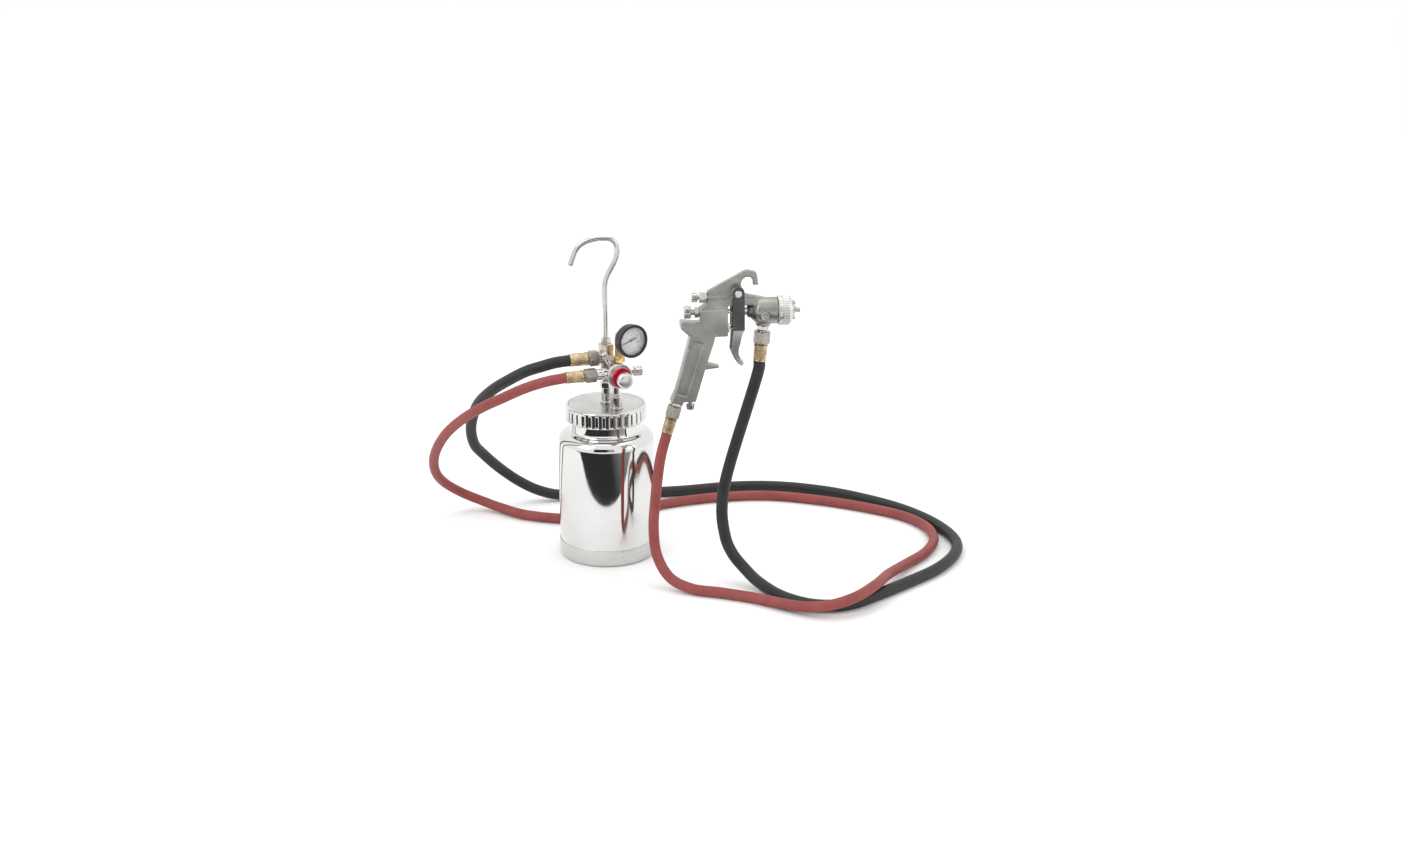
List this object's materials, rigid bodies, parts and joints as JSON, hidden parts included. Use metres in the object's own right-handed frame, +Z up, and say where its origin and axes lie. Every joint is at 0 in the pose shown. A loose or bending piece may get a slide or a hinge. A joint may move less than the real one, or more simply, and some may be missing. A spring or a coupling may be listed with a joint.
{
  "type": "pressure feed paint pot with spray gun",
  "caption": "Polished steel pressure pot with a screw ring lid, regulator, gauge and hanging hook, joined by a fluid hose and an air hose to a hand-held spray gun.",
  "frame": {"origin": "centre of the pot's underside, on the surface it stands on", "axes": "+Z up along the pot's axis, +X towards the side where the gun stands, -Y towards the gauge's face"},
  "size_m": [0.7046, 0.4505, 0.4163],
  "materials": {
    "pot_steel": "polished stainless steel, soft reflections",
    "foot_sleeve": "satin steel sleeve",
    "gasket": "matte black rubber",
    "tube_steel": "plain stainless tube and nut",
    "manifold_plate": "nickel plated brass, lightly worn",
    "hook_rod": "bright plated steel rod",
    "knob_plate": "bright turned aluminium",
    "red_ring": "red anodised ring",
    "spring_wire": "spring wire",
    "gauge_brass": "bare brass",
    "gauge_black": "black moulded case and bezel",
    "gauge_face": "printed white dial",
    "gauge_window": "clear window",
    "nut_steel": "plated hexagon nuts",
    "ferrule_brass": "dull crimped brass sleeve",
    "fluid_rubber": "smooth black rubber",
    "air_rubber": "smooth dull red rubber",
    "gun_satin": "satin blasted casting, polished edges",
    "trigger_grip": "dark grey trigger cover",
    "gun_bright": "bright turned and plated fittings",
    "gun_stainless": "stainless working parts"
  },
  "bodies": {
    "pot": {"pot_cup": "pot_steel", "foot_band": "foot_sleeve"},
    "head": {"lid": "pot_steel", "lid_gasket": "gasket", "pickup_tube": "tube_steel", "pickup_tube_nut": "tube_steel", "fluid_riser": "manifold_plate", "outlet_block": "manifold_plate", "hanging_hook": "hook_rod", "hook_lock_nut": "hook_rod", "regulator_post": "manifold_plate", "regulator_body": "manifold_plate", "regulator_bell": "knob_plate", "regulator_red_ring": "red_ring", "regulator_spring": "spring_wire", "regulator_diaphragm": "gasket", "air_inlet_plug": "manifold_plate", "relief_valve_body": "manifold_plate", "gauge_stem_elbow": "gauge_brass", "gauge_case": "gauge_black", "gauge_bezel": "gauge_black", "gauge_dial": "gauge_face", "gauge_lens": "gauge_window", "pot_fluid_ferrule": "ferrule_brass", "pot_air_ferrule": "ferrule_brass", "gun_fluid_ferrule": "ferrule_brass", "gun_air_ferrule": "ferrule_brass", "fluid_hose": "fluid_rubber", "air_hose": "air_rubber", "gun_body": "gun_satin", "trigger_pivot": "gun_bright", "needle_spring": "spring_wire", "needle_bush": "gun_bright", "fan_valve_body": "gun_bright", "air_valve_nut": "gun_bright", "fluid_nozzle": "gun_stainless", "head_plug": "gun_bright", "packing_nut": "gun_bright", "fluid_inlet_nipple": "nut_steel", "air_inlet_nipple": "nut_steel"},
    "screw_ring": {"screw_ring": "pot_steel"},
    "regulator_knob": {"regulator_knob": "knob_plate"},
    "relief_pull": {"relief_valve_pull": "manifold_plate"},
    "gauge_needle": {"gauge_needle": "gauge_black"},
    "pot_fluid_nut": {"pot_fluid_nut": "nut_steel"},
    "pot_air_nut": {"pot_air_nut": "nut_steel"},
    "gun_fluid_nut": {"gun_fluid_nut": "nut_steel"},
    "gun_air_nut": {"gun_air_nut": "nut_steel"},
    "trigger": {"trigger": "gun_satin", "trigger_cover": "trigger_grip"},
    "fluid_needle": {"fluid_needle": "gun_stainless"},
    "air_valve_stem": {"air_valve_stem": "gun_stainless"},
    "fluid_knob": {"fluid_knob": "knob_plate"},
    "fan_knob": {"fan_knob": "knob_plate"},
    "air_cap": {"air_cap": "gun_bright"},
    "retaining_ring": {"retaining_ring": "gun_bright"},
    "cheater_knob": {"cheater_knob": "gun_bright"}
  },
  "joints": [
    {"name": "lid_lift", "type": "slide", "parent": "pot", "child": "head", "axis": [0, 0, 1], "range_m": [0, 0.2]},
    {"name": "ring_turn", "type": "hinge", "parent": "head", "child": "screw_ring", "pos_m": [0, 0, 0.19], "axis": [0, 0, 1], "range_deg": [0, 540]},
    {"name": "pressure_knob_turn", "type": "hinge", "parent": "head", "child": "regulator_knob", "pos_m": [0.01492, -0.0249, 0.2475], "axis": [0.342, -0.9397, 0], "range_deg": [0, 1080]},
    {"name": "relief_valve_pull_slide", "type": "slide", "parent": "head", "child": "relief_pull", "axis": [-0.4412, -0.1606, 0.8829], "range_m": [0, 0.003], "stiffness_N_per_m": 1500, "springref_m": -0.002},
    {"name": "gauge_needle_turn", "type": "hinge", "parent": "head", "child": "gauge_needle", "pos_m": [0.01914, -0.02336, 0.295], "axis": [-0.5693, 0.8221, 0], "range_deg": [0, 270], "stiffness_Nm_per_rad": 0.0002},
    {"name": "pot_fluid_nut_turn", "type": "hinge", "parent": "head", "child": "pot_fluid_nut", "pos_m": [-0.00893, -0.00325, 0.261], "axis": [-0.9397, -0.342, 0], "continuous": true},
    {"name": "pot_air_nut_turn", "type": "hinge", "parent": "head", "child": "pot_air_nut", "pos_m": [-0.00999, -0.03396, 0.2475], "axis": [-0.9397, -0.342, 0], "continuous": true},
    {"name": "gun_fluid_nut_turn", "type": "hinge", "parent": "head", "child": "gun_fluid_nut", "pos_m": [0.19423, -0.09682, 0.321], "axis": [-0.078, -0.0082, -0.9969], "continuous": true},
    {"name": "gun_air_nut_turn", "type": "hinge", "parent": "head", "child": "gun_air_nut", "pos_m": [0.08966, -0.10781, 0.23052], "axis": [-0.2791, -0.0293, -0.9598], "continuous": true},
    {"name": "trigger_pull", "type": "hinge", "parent": "head", "child": "trigger", "pos_m": [0.1635, -0.10005, 0.3702], "axis": [-0.1045, 0.9945, 0], "range_deg": [0, 14], "stiffness_Nm_per_rad": 3, "springref_deg": -8.59},
    {"name": "fluid_needle_slide", "type": "slide", "parent": "head", "child": "fluid_needle", "axis": [-0.9945, -0.1045, 0], "range_m": [0, 0.004]},
    {"name": "air_valve_slide", "type": "slide", "parent": "head", "child": "air_valve_stem", "axis": [-0.9945, -0.1045, 0], "range_m": [0, 0.0073]},
    {"name": "fluid_knob_turn", "type": "hinge", "parent": "head", "child": "fluid_knob", "pos_m": [0.10433, -0.10627, 0.3462], "axis": [0.9945, 0.1045, 0], "range_deg": [0, 1080]},
    {"name": "fan_knob_turn", "type": "hinge", "parent": "head", "child": "fan_knob", "pos_m": [0.11328, -0.10533, 0.364], "axis": [0.9945, 0.1045, 0], "range_deg": [0, 720]},
    {"name": "air_cap_turn", "type": "hinge", "parent": "head", "child": "air_cap", "pos_m": [0.22367, -0.09373, 0.3462], "axis": [0.9945, 0.1045, 0], "range_deg": [-90, 90]},
    {"name": "retaining_ring_turn", "type": "hinge", "parent": "head", "child": "retaining_ring", "pos_m": [0.21969, -0.09415, 0.3462], "axis": [0.9945, 0.1045, 0], "range_deg": [0, 720]},
    {"name": "cheater_knob_turn", "type": "hinge", "parent": "head", "child": "cheater_knob", "pos_m": [0.10831, -0.10585, 0.23], "axis": [0, 0, 1], "range_deg": [0, 720]}
  ],
  "couplings": [
    {"joint": "fluid_needle_slide", "follows": "trigger_pull", "m_per_rad": 0.0163},
    {"joint": "air_valve_slide", "follows": "trigger_pull", "m_per_rad": 0.0298}
  ]
}
